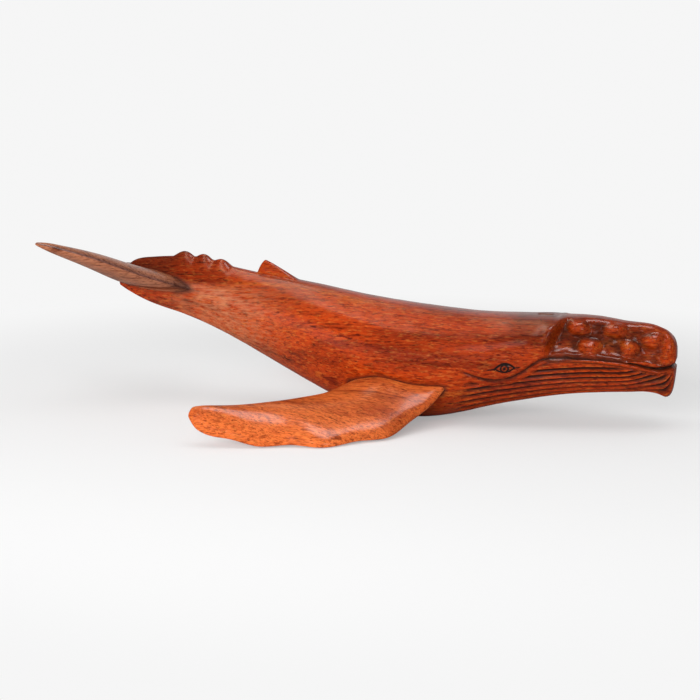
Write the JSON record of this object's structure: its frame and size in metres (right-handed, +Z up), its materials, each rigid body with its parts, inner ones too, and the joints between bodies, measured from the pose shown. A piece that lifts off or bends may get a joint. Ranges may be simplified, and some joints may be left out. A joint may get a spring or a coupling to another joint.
{
  "type": "carved wooden whale figurine",
  "caption": "Hand-carved hardwood whale with let-in flippers and tail flukes, a small dorsal fin, pleated throat and knobbly jaw, standing free on its belly and flippers.",
  "frame": {"origin": "on the floor under the middle of the whole figure's box", "axes": "+X towards the snout, +Y towards the whale's left, +Z up"},
  "size_m": [0.5, 0.3044, 0.1432],
  "materials": {
    "body_wood": "polished red-brown hardwood",
    "limb_wood": "polished red-brown hardwood, a little lighter",
    "dowel_wood": "plain pale hardwood pins, hidden"
  },
  "bodies": {
    "root": {"body": "body_wood", "right_flipper": "limb_wood", "left_flipper": "limb_wood", "right_fluke": "limb_wood", "left_fluke": "limb_wood", "right_flipper_front_dowel": "dowel_wood", "right_flipper_rear_dowel": "dowel_wood", "left_flipper_front_dowel": "dowel_wood", "left_flipper_rear_dowel": "dowel_wood", "fluke_front_dowel": "dowel_wood", "fluke_rear_dowel": "dowel_wood"}
  },
  "joints": []
}
